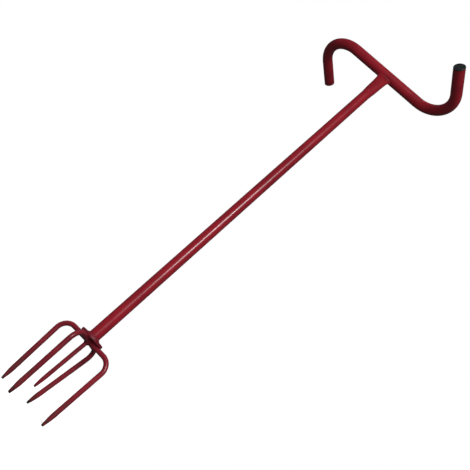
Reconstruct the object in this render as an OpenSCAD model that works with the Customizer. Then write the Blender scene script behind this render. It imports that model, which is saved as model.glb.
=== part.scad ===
// Garden claw: a twist cultivator with an S-shaped handlebar, a tubular shaft and a claw of five rods.
// The tool stands upright on its four bent tines. The ground is z = 0 and the shaft runs along Z.
// The handlebar runs along X, and the front of the tool faces -Y.

/* [Shaft] */
// Distance from the top of the plate to the middle of the handlebar
shaft_len = 841; // [600:1:1100]
// Outer diameter of the shaft tube
shaft_d = 22; // [19:0.5:28]
// Wall of the shaft tube
shaft_wall = 1.5; // [1:0.1:2.5]
// Length of the squeezed top of the shaft, below the handlebar
squeeze_len = 72; // [40:1:110]
// Width of the squeezed top at its waist
waist_w = 25.4; // [24.5:0.1:28]
// Thickness of the squeezed top at its waist
waist_t = 16; // [12:0.5:20]
// Width of the squeezed top where it meets the handlebar
mouth_w = 31; // [28:0.5:38]
// Thickness of the squeezed top where it meets the handlebar
mouth_t = 10; // [8:0.5:14]

/* [Handlebar] */
// Outer diameter of the handlebar tube
bar_d = 24; // [20:0.5:30]
// Wall of the handlebar tube
bar_wall = 1.5; // [1:0.1:2.5]
// Straight part of the handlebar, from the shaft to a bend
bar_half_len = 90; // [60:1:140]
// Radius of a bend, at the middle of the tube
bend_r = 60; // [40:1:80]
// How far each end of the handlebar is bent round
bend_angle = 118; // [90:1:125]
// Straight leg after a bend, up to the end of the tube
leg_len = 62.5; // [40:0.5:80]
// How much the tube's radius shrinks in a bend
bar_shrink = 0.12; // [0.12:0.01:0.2]

/* [End caps] */
// Thickness of a cap's head
cap_head = 2.5; // [1.5:0.1:5]
// Rounding of the head's rim
cap_round = 0.9; // [0.3:0.1:1.2]
// Length of a cap's stem inside the tube
cap_stem = 16; // [8:1:30]
// Number of ribs on a stem
cap_ribs = 3; // [2:1:4]
// Height of a rib above the stem
cap_rib = 0.6; // [0.3:0.1:1.2]
// Wall of the hollow stem
cap_wall = 1.8; // [1.2:0.1:3]
// Gap between a rib and the tube
cap_gap = 0.05; // [0.02:0.01:0.2]

/* [Plate] */
// Diameter of the round plate
plate_d = 48; // [40:0.5:60]
// Thickness of the plate
plate_t = 5; // [3:0.5:8]
// Rounding of the plate's rim
plate_round = 0.8; // [0.3:0.1:1.4]

/* [Bent tines] */
// Distance from the underside of the plate to the ground
tine_drop = 142; // [110:1:180]
// Diameter of a bent tine's rod
rod_d = 9; // [7:0.5:11]
// Distance from the shaft's axis to a tine where it turns down
tine_reach = 59; // [50:0.5:75]
// Radius of a tine's bend, at the middle of the rod
tine_bend_r = 21; // [15:0.5:24]
// How much the rod's radius shrinks in its bend
rod_shrink = 0.02; // [0.01:0.01:0.1]
// Inward lean of the tines
tine_lean = 2; // [0:0.5:6]
// Sideways lean of the right, front, left and back tine
tine_roll = [0, 0, -1.5, 6]; // [-8:0.5:8]
// Turn of the whole claw against the handlebar
claw_turn = -12.5; // [-45:0.5:45]
// Distance from the shaft's axis to the inner end of an arm
arm_start = 7.2; // [6:0.1:9]
// Length of a tine's tapered point
point_len = 22; // [12:1:40]
// Diameter of a point near its end
point_d = 4.6; // [2:0.1:6]
// How full the taper of a point is, where 1 is a plain cone
point_fullness = 1.5; // [1:0.1:2.5]
// How much of each rounded point is worn flat
point_wear = 0.4; // [0.1:0.1:0.8]

/* [Centre tine] */
// Diameter of the centre tine
spike_d = 7.5; // [6:0.1:9]
// Length of the centre tine below the plate
spike_len = 114; // [60:1:135]
// Lean of the centre tine to the left
spike_lean = 2; // [0:0.5:4]

/* [Welds] */
// Leg of the bead between the shaft and the plate
foot_bead = 4; // [2:0.1:7]
// Leg of the bead between the shaft and the handlebar
head_bead = 3; // [1.5:0.1:5]
// Width of the bead beside an arm
arm_bead = 2.6; // [1:0.1:4]
// How far short of the plate's rim an arm's bead stops
bead_inset = 2.5; // [1:0.5:6]
// Depth of the weld round the root of the centre tine
root_bead = 11; // [10:0.5:16]
// Thickness of that weld at its lower edge
root_lip = 1; // [0.4:0.1:2]
// Gap left between a weld's solid and a curved wall
bead_gap = 0.05; // [0.02:0.01:0.2]

/* [Hidden] */
$fn = 96;

// Paint and plastic
PAINT = [0.55, 0.09, 0.12];
BEAD = [0.5, 0.1, 0.13];
PLASTIC = [0.09, 0.1, 0.1];

// Levels above the ground
plate_low = tine_drop;
plate_top = plate_low + plate_t;
bar_z = plate_top + shaft_len;
arm_z = plate_low - rod_d / 2;

// How far the squeezed top reaches into the handlebar's outline, as a share of the handlebar's diameter
TOP_REACH = 0.25;

// The handlebar's underside, the foot of the shaft's squeezed top, and the end of that top
mouth_z = bar_z - bar_d / 2;
squeeze_z = mouth_z - squeeze_len;
loft_top = mouth_z + bar_d * TOP_REACH;

// Facets and steps of the lofted top and of the bead round it
LOFT_SIDES = 48;
LOFT_STEPS = 14;
BEAD_SIDES = 48;
BEAD_ARC = [0, 30, 60, 90];

// How much slimmer the lofted top starts than the round tube
LOFT_STEP_IN = 0.2;

// Share of the squeezed length over which the waist forms, and how late the mouth opens
WAIST_SHARE = 0.45;
MOUTH_POWER = 4;

// Extra length of a cutting solid
PAST = 1;

// Angle between the points of a rounded edge
ARC_STEP = 15;

// Places along a tapered point, as shares of its length
TAPER_STEPS = [0 : 0.2 : 1];

// Shares of the distance between two ribs of a cap: where a rib's ramp starts, and half of its crest
RIB_RAMP = 0.33;
RIB_CREST = 0.08;

// Where an arm's fillet meets the rod, as an angle above its flank
FILLET_ANGLE = 10;

// Where the fillet starts on the plate, as a share of the rod's radius from the rod's middle
FILLET_ROOT = 0.33;

// How far a straight length runs into a bend, so that the two are one solid
RUN_IN = 0.4;

// 0 before the start, 1 after the end, and a smooth rise between them
function ease(u) = let (v = min(max(u, 0), 1)) v * v * (3 - 2 * v);

// Outer width and thickness of the squeezed top, for u from 0 at its foot to 1 at the handlebar
function top_w(u) = shaft_d - LOFT_STEP_IN + (waist_w - shaft_d) * ease(u / WAIST_SHARE)
    + (mouth_w - waist_w) * pow(min(u, 1), MOUTH_POWER);
function top_t(u) = shaft_d - LOFT_STEP_IN + (waist_t - shaft_d) * ease(u / WAIST_SHARE)
    + (mouth_t - waist_t) * pow(min(u, 1), MOUTH_POWER);

// An ellipse of points at one height
function ellipse_ring(w, t, z, sides) = [for (i = [0 : sides - 1])
    let (a = 360 * i / sides) [w / 2 * cos(a), t / 2 * sin(a), z]];

// Closed solid through rings of equal count, from the lowest to the highest
module loft(rings) {
    n = len(rings[0]);
    last = len(rings) - 1;
    points = [for (ring = rings) each ring];
    foot = [[for (i = [0 : n - 1]) i]];
    head = [[for (i = [n - 1 : -1 : 0]) last * n + i]];
    sides = [for (k = [0 : last - 1], i = [0 : n - 1])
        let (j = (i + 1) % n) [k * n + i, (k + 1) * n + i, (k + 1) * n + j, k * n + j]];
    polyhedron(points, concat(foot, sides, head), convexity = 4);
}

// The squeezed top as a solid, taken in by inset on every side, with its lowest ring run into the round tube
module squeezed_top(inset, top) {
    steps = [for (k = [0 : LOFT_STEPS]) k / LOFT_STEPS];
    loft(concat(
        [ellipse_ring(top_w(0) - 2 * inset, top_t(0) - 2 * inset, squeeze_z - RUN_IN, LOFT_SIDES)],
        [for (u = steps)
            ellipse_ring(top_w(u) - 2 * inset, top_t(u) - 2 * inset,
                squeeze_z + squeeze_len * u, LOFT_SIDES)],
        [ellipse_ring(top_w(1) - 2 * inset, top_t(1) - 2 * inset, top, LOFT_SIDES)]));
}

// Where the straight middle of the handlebar lies
module along_bar() {
    translate([0, 0, bar_z]) rotate([0, 90, 0]) children();
}

// Right bend and leg of the handlebar at a given radius, with the leg made longer by extra
module bend_and_leg(r, extra) {
    translate([bar_half_len, -bend_r, bar_z]) rotate([0, 0, 90 - bend_angle]) {
        rotate_extrude(angle = bend_angle) translate([bend_r, 0]) circle(r = r - bar_shrink);
        translate([bend_r, RUN_IN, 0]) rotate([90, 0, 0]) cylinder(r = r, h = RUN_IN + leg_len + extra);
    }
}

// The whole handlebar as a solid rod
module bar_rod(r, extra) {
    along_bar() cylinder(r = r, h = 2 * (bar_half_len + RUN_IN), center = true);
    for (turn = [0, 180]) rotate([0, 0, turn]) bend_and_leg(r, extra);
}

module handlebar() {
    color(PAINT) difference() {
        bar_rod(bar_d / 2, 0);
        bar_rod(bar_d / 2 - bar_wall, PAST);
    }
}

// Moves a shape from the origin to the open end of the right leg, with +Z pointing out of the tube
module at_leg_end() {
    translate([bar_half_len, -bend_r, bar_z]) rotate([0, 0, 90 - bend_angle])
        translate([bend_r, -leg_len, 0]) rotate([90, 0, 0]) children();
}

// Plug with a round head and a hollow ribbed stem
module end_cap() {
    head_r = bar_d / 2;
    rib_r = head_r - bar_wall - cap_gap;
    stem_r = rib_r - cap_rib;
    pitch = cap_stem / (cap_ribs + 1);
    rotate_extrude() difference() {
        union() {
            polygon(concat(
                [[0, 0], [head_r, 0]],
                [for (a = [0 : ARC_STEP : 90]) [head_r - cap_round + cap_round * cos(a),
                                          cap_head - cap_round + cap_round * sin(a)]],
                [[0, cap_head]]));
            translate([0, -cap_stem]) square([stem_r, cap_stem + cap_head / 2]);
            for (i = [1 : cap_ribs]) translate([0, -i * pitch]) polygon([
                [0, -pitch * RIB_RAMP], [stem_r, -pitch * RIB_RAMP],
                [rib_r, -pitch * RIB_CREST], [rib_r, pitch * RIB_CREST],
                [0, pitch * RIB_CREST]]);
        }
        translate([0, -cap_stem - PAST]) square([stem_r - cap_wall, cap_stem + PAST]);
    }
}

module right_end_cap() {
    color(PLASTIC) at_leg_end() end_cap();
}

module left_end_cap() {
    color(PLASTIC) rotate([0, 0, 180]) at_leg_end() end_cap();
}

module shaft_tube() {
    straight = squeeze_z - plate_top;
    color(PAINT) {
        difference() {
            union() {
                translate([0, 0, plate_top]) cylinder(d = shaft_d, h = straight);
                squeezed_top(0, loft_top);
            }
            translate([0, 0, plate_top - PAST]) cylinder(d = shaft_d - 2 * shaft_wall, h = straight + PAST);
            squeezed_top(shaft_wall, loft_top + PAST);
            along_bar() cylinder(d = bar_d, h = 2 * mouth_w, center = true);
        }
    }
}

// Height of the handlebar's underside at a distance y from its middle plane
function bar_under(y) = bar_z - sqrt(pow(bar_d / 2 + bead_gap, 2) - y * y);

// A point of the bead round the mouth: a is the angle round the shaft, b the place across the bead's face
function bead_point(a, b) = let (
    out = bead_gap + head_bead * (1 - cos(b)),
    w = mouth_w / 2 + out,
    t = mouth_t / 2 + out,
    y = t * sin(a))
    [w * cos(a), y, bar_under(y) - head_bead * (1 - sin(b))];

// Ring of bead round the shaft's mouth, with a hollow face from the shaft to the handlebar's underside
module handle_weld() {
    n = len(BEAD_ARC) + 1;
    corner = function (a) let (y = (mouth_t / 2 + bead_gap) * sin(a))
        [(mouth_w / 2 + bead_gap) * cos(a), y, bar_under(y)];
    points = [for (i = [0 : BEAD_SIDES - 1]) let (a = 360 * i / BEAD_SIDES)
        each concat([for (b = BEAD_ARC) bead_point(a, b)], [corner(a)])];
    faces = [for (i = [0 : BEAD_SIDES - 1], k = [0 : n - 1])
        let (i2 = (i + 1) % BEAD_SIDES, k2 = (k + 1) % n)
        each [[i * n + k, i * n + k2, i2 * n + k2], [i * n + k, i2 * n + k2, i2 * n + k]]];
    color(BEAD) polyhedron(points, faces, convexity = 6);
}

module tine_plate() {
    flat_r = plate_d / 2 - plate_round;
    color(PAINT) translate([0, 0, plate_low]) rotate_extrude() polygon(concat(
        [[0, 0]],
        [for (a = [-90 : ARC_STEP : 0])
            [flat_r + plate_round * cos(a), plate_round + plate_round * sin(a)]],
        [for (a = [0 : ARC_STEP : 90])
            [flat_r + plate_round * cos(a), plate_t - plate_round + plate_round * sin(a)]],
        [[0, plate_t]]));
}

// Bead round the foot of the shaft, with a slightly hollow face
module shaft_weld() {
    r = shaft_d / 2 + bead_gap;
    color(BEAD) translate([0, 0, plate_top]) rotate_extrude() polygon(concat(
        [[r, 0]],
        [for (a = [0 : ARC_STEP : 90]) [r + foot_bead * (1 - sin(a)), foot_bead * (1 - cos(a))]]));
}

// Turns a shape from the X axis to the arm of one bent tine
module at_arm(i) {
    rotate([0, 0, claw_turn - 90 * i]) children();
}

// Straight rod of a given length that ends in a tapered, rounded point
module pointed_rod(d, length) {
    r = d / 2;
    nose = point_d / 2;
    rotate_extrude() polygon(concat(
        [[0, 0], [r, 0]],
        [for (t = TAPER_STEPS)
            [r - (r - nose) * pow(t, point_fullness), length - point_len + (point_len - nose) * t]],
        [for (a = [ARC_STEP : ARC_STEP : 90]) [nose * cos(a), length - nose + nose * sin(a)]]));
}

// Bent rod whose arm lies under the plate along X, rolled about its arm and cut off level at the ground
module bent_tine(roll) {
    leg = (arm_z / cos(roll) - tine_bend_r * (1 + sin(tine_lean))) / cos(tine_lean) + point_wear;
    elbow = tine_reach - tine_bend_r;
    difference() {
        translate([0, 0, arm_z]) rotate([roll, 0, 0]) {
            translate([arm_start, 0, 0]) rotate([0, 90, 0])
                cylinder(d = rod_d, h = elbow + RUN_IN - arm_start);
            translate([elbow, 0, -tine_bend_r]) rotate([90, 0, 0]) rotate([0, 0, -tine_lean]) {
                rotate_extrude(angle = 90 + tine_lean) translate([tine_bend_r, 0])
                    circle(r = rod_d / 2 - rod_shrink);
                translate([tine_bend_r, RUN_IN, 0]) rotate([90, 0, 0]) pointed_rod(rod_d, leg + RUN_IN);
            }
        }
        translate([0, 0, -arm_z]) cylinder(r = 2 * tine_reach, h = arm_z);
    }
}

module right_tine() {
    color(PAINT) at_arm(0) bent_tine(tine_roll[0]);
}

module front_tine() {
    color(PAINT) at_arm(1) bent_tine(tine_roll[1]);
}

module left_tine() {
    color(PAINT) at_arm(2) bent_tine(tine_roll[2]);
}

module back_tine() {
    color(PAINT) at_arm(3) bent_tine(tine_roll[3]);
}

module centre_tine() {
    color(PAINT) difference() {
        translate([0, 0, plate_low]) rotate([0, 180 + spike_lean, 0]) translate([0, 0, -PAST])
            pointed_rod(spike_d, spike_len + PAST);
        translate([0, 0, plate_low]) cylinder(d = plate_d, h = plate_t);
    }
}

// The two fillets that hold an arm to the plate, one on each side of the rod
module arm_welds() {
    r = rod_d / 2;
    foot = plate_d / 2 - bead_inset;
    for (side = [-1, 1]) translate([arm_start, 0, plate_low]) rotate([90, 0, 90])
        linear_extrude(foot - arm_start) difference() {
            polygon([[side * r * FILLET_ROOT, 0], [side * (r + arm_bead), 0],
                     [side * r * cos(FILLET_ANGLE), r * sin(FILLET_ANGLE) - r]]);
            translate([0, -r]) circle(r = r + bead_gap);
        }
}

module right_tine_weld() {
    color(BEAD) at_arm(0) arm_welds();
}

module front_tine_weld() {
    color(BEAD) at_arm(1) arm_welds();
}

module left_tine_weld() {
    color(BEAD) at_arm(2) arm_welds();
}

module back_tine_weld() {
    color(BEAD) at_arm(3) arm_welds();
}

// Weld that fills the space between the root of the centre tine and the inner ends of the arms
module centre_weld() {
    fill = arm_start - bead_gap;
    color(BEAD) difference() {
        translate([0, 0, plate_low]) rotate([180, 0, 0]) {
            cylinder(r = fill, h = rod_d);
            translate([0, 0, rod_d])
                cylinder(r1 = fill, r2 = spike_d / 2 + root_lip, h = root_bead - rod_d);
        }
        translate([0, 0, plate_low]) rotate([0, 180 + spike_lean, 0]) translate([0, 0, -PAST])
            cylinder(d = spike_d + 2 * bead_gap, h = spike_len);
    }
}

handlebar();
left_end_cap();
right_end_cap();
handle_weld();
shaft_tube();
shaft_weld();
tine_plate();
right_tine();
front_tine();
left_tine();
back_tine();
centre_tine();
right_tine_weld();
front_tine_weld();
left_tine_weld();
back_tine_weld();
centre_weld();
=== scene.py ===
import math

import bmesh
import bpy
from mathutils import Matrix, Vector


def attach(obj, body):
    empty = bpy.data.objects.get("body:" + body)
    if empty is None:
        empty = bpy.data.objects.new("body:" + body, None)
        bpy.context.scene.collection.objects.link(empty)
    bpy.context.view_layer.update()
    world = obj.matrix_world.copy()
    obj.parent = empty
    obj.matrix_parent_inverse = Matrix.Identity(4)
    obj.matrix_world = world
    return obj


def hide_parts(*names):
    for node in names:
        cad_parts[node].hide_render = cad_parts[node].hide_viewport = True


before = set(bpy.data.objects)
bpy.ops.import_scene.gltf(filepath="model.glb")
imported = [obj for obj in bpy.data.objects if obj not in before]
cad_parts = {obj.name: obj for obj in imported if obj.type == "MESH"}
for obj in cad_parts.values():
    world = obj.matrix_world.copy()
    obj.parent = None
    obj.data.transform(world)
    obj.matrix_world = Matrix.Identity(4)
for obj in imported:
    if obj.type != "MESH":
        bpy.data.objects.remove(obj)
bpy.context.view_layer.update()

MM = 0.001

# Sizes repeated from the part's source, in millimetres
BAR_D = 24
BAR_Z = 988
SHAFT_D = 22
MOUTH_W = 31
MOUTH_T = 10
HEAD_BEAD = 3
FOOT_BEAD = 4
PLATE_LOW = 142
PLATE_TOP = 147
PLATE_D = 48
ROD_D = 9
ARM_START = 7.2
ARM_BEAD = 2.6
BEAD_INSET = 2.5
CLAW_TURN = -12.5
SPIKE_D = 7.5
SPIKE_LEAN = 2
ROOT_BEAD = 11

# How far a bead of the scene stays inside the leg or width of the part's own bead, in millimetres
FOOT_TRIM = 0.7
HEAD_TRIM = 0.35
ARM_TRIM = 0.35
ARM_START_TRIM = 0.1
ROOT_TRIM = 0.15

# Angle round the rod over which an arm's fillet can climb, and where that climb ends, in degrees
ARM_CLIMB = 72
ARM_CLIMB_END = 86

# The camera's frame and lens in millimetres, fitted to the photograph
SENSOR = 36
LENS = 42.28

# The camera's place in metres, and the directions to the right in its picture and ahead of it
CAMERA_PLACE = (0.1916, -0.9574, 0.0842)
CAMERA_RIGHT = (0.708, -0.154, 0.689)
CAMERA_AHEAD = (-0.151, 0.921, 0.361)

# Colours under the paint and on it
CHIPPED = (0.045, 0.032, 0.03, 1)
DRIED_SOIL = (0.022, 0.013, 0.011, 1)
BARE_STEEL = (0.016, 0.009, 0.009, 1)

# Half the length of a side of the floor, in metres
FLOOR_HALF = 60


# Camera

def add_camera():
    """The photograph's camera, low in front of the claw and looking up the shaft."""
    data = bpy.data.cameras.new("photo_camera")
    data.sensor_width = SENSOR
    data.lens = LENS
    data.clip_start = 0.01
    data.clip_end = 200
    cam = bpy.data.objects.new("photo_camera", data)
    bpy.context.scene.collection.objects.link(cam)
    right = Vector(CAMERA_RIGHT).normalized()
    ahead = Vector(CAMERA_AHEAD)
    ahead = (ahead - right * ahead.dot(right)).normalized()
    up = right.cross(ahead)
    turn = Matrix((right, up, -ahead)).transposed().to_4x4()
    cam.matrix_world = Matrix.Translation(CAMERA_PLACE) @ turn
    bpy.context.scene.camera = cam


# Materials

class Nodes:
    """Short calls for building one material's node tree."""

    def __init__(self, name):
        self.mat = bpy.data.materials.new(name)
        self.mat.use_nodes = True
        self.tree = self.mat.node_tree
        self.bsdf = self.tree.nodes["Principled BSDF"]
        self.coords = self.add("ShaderNodeTexCoord").outputs["Object"]

    def add(self, kind, **values):
        node = self.tree.nodes.new(kind)
        for key, value in values.items():
            setattr(node, key, value)
        return node

    def link(self, a, b):
        self.tree.links.new(a, b)

    def put(self, socket, value):
        if isinstance(value, bpy.types.NodeSocket):
            self.link(value, socket)
        else:
            socket.default_value = value

    def scaled(self, factors):
        """Object coordinates stretched by factors."""
        node = self.add("ShaderNodeMapping")
        self.link(self.coords, node.inputs["Vector"])
        node.inputs["Scale"].default_value = factors
        return node.outputs["Vector"]

    def noise(self, scale, detail=3, rough=0.5, vector=None):
        node = self.add("ShaderNodeTexNoise")
        self.link(vector or self.coords, node.inputs["Vector"])
        node.inputs["Scale"].default_value = scale
        node.inputs["Detail"].default_value = detail
        node.inputs["Roughness"].default_value = rough
        return node.outputs["Fac"]

    def cells(self, scale):
        node = self.add("ShaderNodeTexVoronoi")
        self.link(self.coords, node.inputs["Vector"])
        node.inputs["Scale"].default_value = scale
        return node.outputs["Distance"]

    def fit(self, value, low, high, to_low=0.0, to_high=1.0):
        """Maps low..high to to_low..to_high, smoothly and clamped."""
        node = self.add("ShaderNodeMapRange", interpolation_type="SMOOTHSTEP")
        self.link(value, node.inputs["Value"])
        node.inputs["From Min"].default_value = low
        node.inputs["From Max"].default_value = high
        node.inputs["To Min"].default_value = to_low
        node.inputs["To Max"].default_value = to_high
        return node.outputs["Result"]

    def math(self, kind, a, b):
        node = self.add("ShaderNodeMath", operation=kind)
        self.put(node.inputs[0], a)
        self.put(node.inputs[1], b)
        return node.outputs[0]

    def mix(self, fac, a, b):
        """Mixes two colours."""
        node = self.add("ShaderNodeMix", data_type="RGBA")
        self.put(node.inputs["Factor"], fac)
        self.put(node.inputs[6], a)
        self.put(node.inputs[7], b)
        return node.outputs[2]

    def axis(self, name):
        node = self.add("ShaderNodeSeparateXYZ")
        self.link(self.coords, node.inputs[0])
        return node.outputs[name]

    def bump(self, height, strength, distance, below=None):
        node = self.add("ShaderNodeBump")
        node.inputs["Strength"].default_value = strength
        node.inputs["Distance"].default_value = distance
        self.link(height, node.inputs["Height"])
        if below is not None:
            self.link(below, node.inputs["Normal"])
        return node.outputs["Normal"]


def paint_material(name, light, deep, matt, gloss=0.29, wear=0, soil_top=0.03, worn_top=0.0001,
                   rippled=False):
    """Red powder coat over steel.

    light and deep are the two reds that it drifts between. matt is the lowest roughness, gloss the
    specular level, and wear adds small chips. Soil film reaches up to soil_top and bare dark metal
    up to worn_top, both in metres above the ground. A rippled coat lies over a weld.
    """
    n = Nodes(name)
    drift = n.noise(11, 4, 0.6)
    cloud = n.noise(70, 3, 0.55)
    peel = n.noise(600, 2, 0.4)
    grain = n.noise(2600, 1, 0.5)
    chip_field = n.noise(160, 5, 0.7)
    chips = n.fit(chip_field, 0.735 - wear, 0.755 - wear)
    streak = n.noise(90, 3, 0.6, n.scaled((6, 6, 0.4)))
    height = n.axis("Z")

    colour = n.mix(n.fit(drift, 0.35, 0.65), (*deep, 1), (*light, 1))
    colour = n.mix(n.fit(cloud, 0.45, 0.8, 0, 0.35), colour, (*deep, 1))
    faded = (light[0] * 1.3, light[1] * 1.6, light[2] * 1.6, 1)
    colour = n.mix(n.fit(streak, 0.58, 0.75, 0, 0.22), colour, faded)
    colour = n.mix(chips, colour, CHIPPED)
    # Soil that has dried on, thinning out upwards with a ragged edge
    ragged = n.math("ADD", height, n.fit(n.noise(55, 5, 0.65), 0.3, 0.7, -0.035, 0.035))
    soil = n.fit(ragged, soil_top * 0.2, soil_top, 0.55, 0)
    soil = n.math("MULTIPLY", soil, n.fit(n.noise(240, 5, 0.7), 0.3, 0.62))
    colour = n.mix(soil, colour, DRIED_SOIL)
    # Points rubbed down to dark steel
    rubbed = n.math("ADD", height, n.fit(n.noise(170, 4, 0.6), 0.3, 0.7, -0.006, 0.006))
    worn = n.fit(rubbed, worn_top * 0.55, worn_top, 1, 0)
    colour = n.mix(worn, colour, BARE_STEEL)
    n.link(colour, n.bsdf.inputs["Base Color"])

    rough = n.fit(cloud, 0.3, 0.75, matt, matt + 0.08)
    rough = n.math("ADD", rough, n.math("MULTIPLY", soil, 0.35))
    rough = n.math("ADD", rough, n.math("MULTIPLY", chips, 0.2))
    rough = n.math("ADD", rough, n.math("MULTIPLY", grain, 0.05))
    n.link(rough, n.bsdf.inputs["Roughness"])
    n.bsdf.inputs["Specular IOR Level"].default_value = gloss
    n.bsdf.inputs["Coat Weight"].default_value = 0.04
    n.bsdf.inputs["Coat Roughness"].default_value = 0.16

    normal = n.bump(peel, 0.3, 0.00001)
    normal = n.bump(chips, 0.4, 0.00005, normal)
    normal = n.bump(soil, 0.3, 0.0001, normal)
    if rippled:
        normal = n.bump(n.noise(420, 3, 0.6), 0.5, 0.0004, normal)
    n.link(normal, n.bsdf.inputs["Normal"])
    return n.mat


def plastic_material(name):
    """Black moulded polyethylene with a fine spark texture and rubbed high spots."""
    n = Nodes(name)
    cloud = n.noise(120, 4, 0.6)
    spark = n.cells(2400)
    rub = n.fit(n.noise(260, 5, 0.7), 0.55, 0.72)
    colour = n.mix(n.fit(cloud, 0.3, 0.7), (0.005, 0.0055, 0.006, 1), (0.010, 0.0105, 0.011, 1))
    colour = n.mix(n.math("MULTIPLY", rub, 0.5), colour, (0.022, 0.022, 0.021, 1))
    n.link(colour, n.bsdf.inputs["Base Color"])
    rough = n.fit(cloud, 0.3, 0.7, 0.42, 0.58)
    rough = n.math("ADD", rough, n.math("MULTIPLY", rub, 0.15))
    n.link(rough, n.bsdf.inputs["Roughness"])
    n.bsdf.inputs["Specular IOR Level"].default_value = 0.28
    normal = n.bump(spark, 0.25, 0.00008)
    n.link(n.bump(rub, 0.3, 0.00006, normal), n.bsdf.inputs["Normal"])
    return n.mat


def floor_material():
    """Plain pale studio floor."""
    n = Nodes("studio_floor")
    tone = n.mix(n.noise(1.5, 2, 0.5), (0.86, 0.86, 0.86, 1), (0.88, 0.88, 0.88, 1))
    n.link(tone, n.bsdf.inputs["Base Color"])
    n.bsdf.inputs["Roughness"].default_value = 0.95
    n.bsdf.inputs["Specular IOR Level"].default_value = 0.05
    return n.mat


# Mesh pieces

def mesh_object(name, verts, faces, material, node):
    """A smooth-shaded piece that stands for a CAD node."""
    data = bpy.data.meshes.new(name)
    data.from_pydata([Vector(v) * MM for v in verts], [], faces)
    bm = bmesh.new()
    bm.from_mesh(data)
    bmesh.ops.recalc_face_normals(bm, faces=bm.faces)
    bm.to_mesh(data)
    bm.free()
    data.materials.append(material)
    data.shade_smooth()
    obj = bpy.data.objects.new(name, data)
    bpy.context.scene.collection.objects.link(obj)
    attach(obj, "root")
    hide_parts(node)


def scallop(u):
    """Height of a weld ripple, 0 to 1, for a place counted in ripples: a slow rise and a quick drop."""
    v = u - math.floor(u)
    return math.sin(math.pi * v ** 0.7) ** 0.8


def bead_rings(stations, bulge, ripple, pitch_lag, steps):
    """Cross-sections of a bead.

    A station is the bead's edge on one piece, its edge on the other, its root and its place in ripples.
    """
    rings = []
    for toe, crest, root, place in stations:
        toe, crest, root = Vector(toe), Vector(crest), Vector(root)
        out = ((toe + crest) / 2 - root).normalized()
        ring = []
        for k in range(steps + 1):
            s = k / steps
            arch = math.sin(math.pi * s)
            lift = arch * (bulge + ripple * scallop(place + pitch_lag * arch))
            ring.append(toe.lerp(crest, s) + out * lift)
        ring.append(root)
        rings.append(ring)
    return rings


def rings_to_mesh(rings, closed):
    """Skin over rings of equal count, closed into a loop or capped at both ends."""
    n = len(rings[0])
    verts = [p for ring in rings for p in ring]
    faces = []
    count = len(rings)
    for i in range(count if closed else count - 1):
        j = (i + 1) % count
        for k in range(n):
            k2 = (k + 1) % n
            faces.append((i * n + k, i * n + k2, j * n + k2, j * n + k))
    if not closed:
        faces.append(tuple(range(n)))
        faces.append(tuple(range((count - 1) * n, count * n))[::-1])
    return verts, faces


def shaft_bead(material):
    """Rippled fillet round the foot of the shaft."""
    r = SHAFT_D / 2
    around, ripples = 336, 28
    stations = []
    for i in range(around):
        a = math.tau * i / around
        # The welder's hand: the bead swells and thins a little on its way round
        sway = 1 + 0.07 * math.sin(3 * a + 0.7) + 0.05 * math.sin(7 * a + 2)
        leg = (FOOT_BEAD - FOOT_TRIM) * sway
        c, s = math.cos(a), math.sin(a)
        toe = ((r + leg) * c, (r + leg) * s, PLATE_TOP)
        crest = (r * c, r * s, PLATE_TOP + leg)
        root = ((r - 0.6) * c, (r - 0.6) * s, PLATE_TOP - 0.3)
        stations.append((toe, crest, root, ripples * i / around))
    verts, faces = rings_to_mesh(bead_rings(stations, 0.25, 0.32, -0.7, 10), True)
    mesh_object("shaft_weld_bead", verts, faces, material, "shaft_weld")


def handle_bead(material):
    """Rippled bead along the saddle between the squeezed shaft and the handlebar."""
    around, ripples = 360, 30
    stations = []
    for i in range(around):
        a = math.tau * i / around
        sway = 1 + 0.08 * math.sin(2 * a + 1.1) + 0.05 * math.sin(5 * a)
        leg = (HEAD_BEAD - HEAD_TRIM) * sway
        c, s = math.cos(a), math.sin(a)

        def saddle(out):
            y = (MOUTH_T / 2 + out) * s
            return Vector(((MOUTH_W / 2 + out) * c, y, BAR_Z - math.sqrt((BAR_D / 2) ** 2 - y * y)))

        toe = saddle(leg)
        crest = saddle(0) - Vector((0, 0, leg))
        root = saddle(-0.5) + Vector((0, 0, 0.4))
        stations.append((toe, crest, root, ripples * i / around))
    verts, faces = rings_to_mesh(bead_rings(stations, 0.1, 0.16, -0.7, 10), True)
    mesh_object("handle_weld_bead", verts, faces, material, "handle_weld")


def arm_bead(name, index, material):
    """The two rippled fillets that hold one arm to the plate."""
    r = ROD_D / 2
    near = ARM_START + ARM_START_TRIM
    far = PLATE_D / 2 - BEAD_INSET
    turn = Matrix.Rotation(math.radians(CLAW_TURN - 90 * index), 4, "Z")
    along = 96
    verts, faces = [], []
    for side in (-1, 1):
        stations = []
        for i in range(along + 1):
            u = i / along
            x = near + (far - near) * u
            # The bead starts thin, runs full and ends in a small crater
            full = min(1, 0.45 + u * 5, 0.35 + (1 - u) * 6)
            width = (ARM_BEAD - ARM_TRIM) * full * (1 + 0.08 * math.sin(9 * u + index + side))
            meets = math.radians(ARM_CLIMB_END - ARM_CLIMB * (0.2 + 0.6 * full))
            toe = turn @ Vector((x, side * (r + width), PLATE_LOW))
            crest = turn @ Vector((x, side * r * math.cos(meets), PLATE_LOW - r + r * math.sin(meets)))
            root = turn @ Vector((x, side * (r * 0.5), PLATE_LOW + 0.2))
            stations.append((toe, crest, root, 9 * u))
        v, f = rings_to_mesh(bead_rings(stations, 0.1, 0.22, 0.6, 8), False)
        faces += [tuple(k + len(verts) for k in face) for face in f]
        verts += v
    mesh_object(name + "_bead", verts, faces, material, name)


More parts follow.
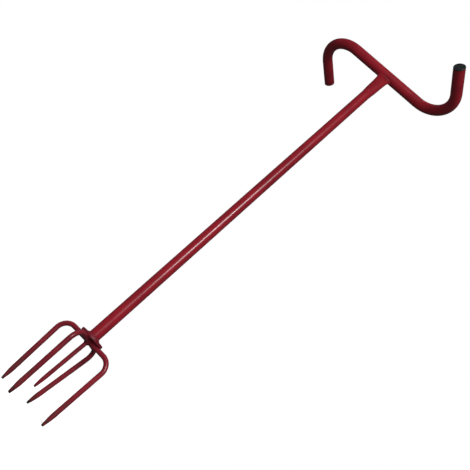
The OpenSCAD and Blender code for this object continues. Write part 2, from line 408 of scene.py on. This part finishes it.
def centre_bead(material):
    """Lumpy plug of weld round the root of the centre tine, fed in between the four arms."""
    around, levels = 144, 44
    fill = ARM_START - ROOT_TRIM
    lip = SPIKE_D / 2 + 0.5
    straight = ROD_D * 0.45
    rings = []
    for k in range(levels + 1):
        depth = ROOT_BEAD * k / levels
        u = max(0, (depth - straight) / (ROOT_BEAD - straight))
        base = fill + (lip - fill) * (1 - math.cos(math.pi / 2 * u))
        ring = []
        for i in range(around):
            a = math.tau * i / around
            lobes = 0.35 * math.cos(4 * (a - math.radians(CLAW_TURN + 45)))
            ripple = 0.28 * scallop(20 * i / around + 1.5 * k / levels)
            lump = 0.22 * math.sin(3 * a + 0.5 * k) * math.sin(0.37 * k + 1)
            r = base + min(u * 2, 1) * (lobes + ripple + lump) * (1 - 0.5 * u)
            r = min(r, fill)
            lean = -math.tan(math.radians(SPIKE_LEAN)) * depth
            ring.append(Vector((lean * u + r * math.cos(a), r * math.sin(a), PLATE_LOW - depth)))
        rings.append(ring)
    verts, faces = rings_to_mesh(rings, False)
    mesh_object("centre_weld_bead", verts, faces, material, "centre_weld")


# Studio

def add_sun(name, towards, strength, degrees):
    """A soft distant light. towards points from the object to the light."""
    data = bpy.data.lights.new(name, "SUN")
    data.energy = strength
    data.angle = math.radians(degrees)
    obj = bpy.data.objects.new(name, data)
    bpy.context.scene.collection.objects.link(obj)
    obj.rotation_euler = Vector(towards).to_track_quat("Z", "Y").to_euler()
    # A fill: it lightens the paint without a highlight of its own
    obj.visible_glossy = False


def add_strip(name, place, aim, power, width, height, glossy):
    """A strip softbox, upright, that faces the point aim."""
    data = bpy.data.lights.new(name, "AREA")
    data.shape = "RECTANGLE"
    data.size = width
    data.size_y = height
    data.energy = power
    obj = bpy.data.objects.new(name, data)
    bpy.context.scene.collection.objects.link(obj)
    obj.location = place
    obj.rotation_euler = (Vector(place) - Vector(aim)).to_track_quat("Z", "Y").to_euler()
    obj.visible_glossy = glossy


def add_world():
    """White behind the object, and a dim even light from all round it."""
    world = bpy.data.worlds.new("studio")
    bpy.context.scene.world = world
    world.use_nodes = True
    tree = world.node_tree
    tree.nodes.clear()
    path = tree.nodes.new("ShaderNodeLightPath")
    seen = tree.nodes.new("ShaderNodeBackground")
    seen.inputs["Color"].default_value = (1, 1, 1, 1)
    seen.inputs["Strength"].default_value = 1.0
    fill = tree.nodes.new("ShaderNodeBackground")
    fill.inputs["Color"].default_value = (0.95, 0.97, 1, 1)
    fill.inputs["Strength"].default_value = 0.10
    both = tree.nodes.new("ShaderNodeMixShader")
    out = tree.nodes.new("ShaderNodeOutputWorld")
    tree.links.new(path.outputs["Is Camera Ray"], both.inputs["Fac"])
    tree.links.new(fill.outputs[0], both.inputs[1])
    tree.links.new(seen.outputs[0], both.inputs[2])
    tree.links.new(both.outputs[0], out.inputs["Surface"])


def add_floor():
    """A plain pale floor under the tines."""
    a = FLOOR_HALF
    data = bpy.data.meshes.new("studio_floor")
    data.from_pydata([(-a, -a, 0), (a, -a, 0), (a, a, 0), (-a, a, 0)], [], [(0, 1, 2, 3)])
    data.materials.append(floor_material())
    obj = bpy.data.objects.new("studio_floor", data)
    bpy.context.scene.collection.objects.link(obj)
    # The floor carries shadows but throws no white light up on the paint, as under a black-flagged table
    obj.visible_glossy = False
    obj.visible_diffuse = False


# Scene

add_camera()

tube_paint = paint_material("red_powder_coat", (0.170, 0.0072, 0.0125), (0.116, 0.0050, 0.0095), matt=0.23)
tine_paint = paint_material("red_powder_coat_tines", (0.150, 0.0090, 0.0155), (0.088, 0.0060, 0.0110),
                            matt=0.26, wear=0.02, soil_top=0.06, worn_top=0.008)
plate_paint = paint_material("red_powder_coat_plate", (0.130, 0.0080, 0.0140), (0.075, 0.0050, 0.0095),
                             matt=0.30, wear=0.02)
weld_paint = paint_material("red_powder_coat_weld", (0.120, 0.0075, 0.0130), (0.065, 0.0045, 0.0090),
                            matt=0.38, wear=0.01, rippled=True)
joint_paint = paint_material("red_powder_coat_joint", (0.160, 0.0070, 0.0120), (0.110, 0.0050, 0.0095),
                             matt=0.45, gloss=0.15)
cap_plastic = plastic_material("black_plastic")

CAD_MATERIALS = {
    "handlebar": tube_paint,
    "shaft_tube": tube_paint,
    "tine_plate": plate_paint,
    "right_tine": tine_paint,
    "front_tine": tine_paint,
    "left_tine": tine_paint,
    "back_tine": tine_paint,
    "centre_tine": tine_paint,
    "left_end_cap": cap_plastic,
    "right_end_cap": cap_plastic,
}
for node_name, material in CAD_MATERIALS.items():
    obj = bpy.data.objects[node_name]
    for slot in obj.material_slots:
        slot.material = material

shaft_bead(weld_paint)
handle_bead(joint_paint)
for index, weld in enumerate(("right_tine_weld", "front_tine_weld", "left_tine_weld", "back_tine_weld")):
    arm_bead(weld, index, weld_paint)
centre_bead(weld_paint)

add_floor()
add_world()
add_strip("key", (0.85, -2.80, 1.52), (0, 0, 0.48), 90, 0.08, 0.95, True)
add_strip("low_fill", (0.3, -1.9, 0.25), (0, 0, 0.8), 28, 0.9, 0.4, False)
add_sun("top", (-0.08, -0.15, 1), 3.0, 35)
add_sun("left_fill", (-1, 0.2, 0.35), 0.7, 30)
add_sun("right_fill", (1, 0.75, 0.35), 0.45, 30)
add_sun("back_fill", (-0.2, 1, 0.4), 1.6, 20)
bpy.context.scene.view_settings.view_transform = "Standard"
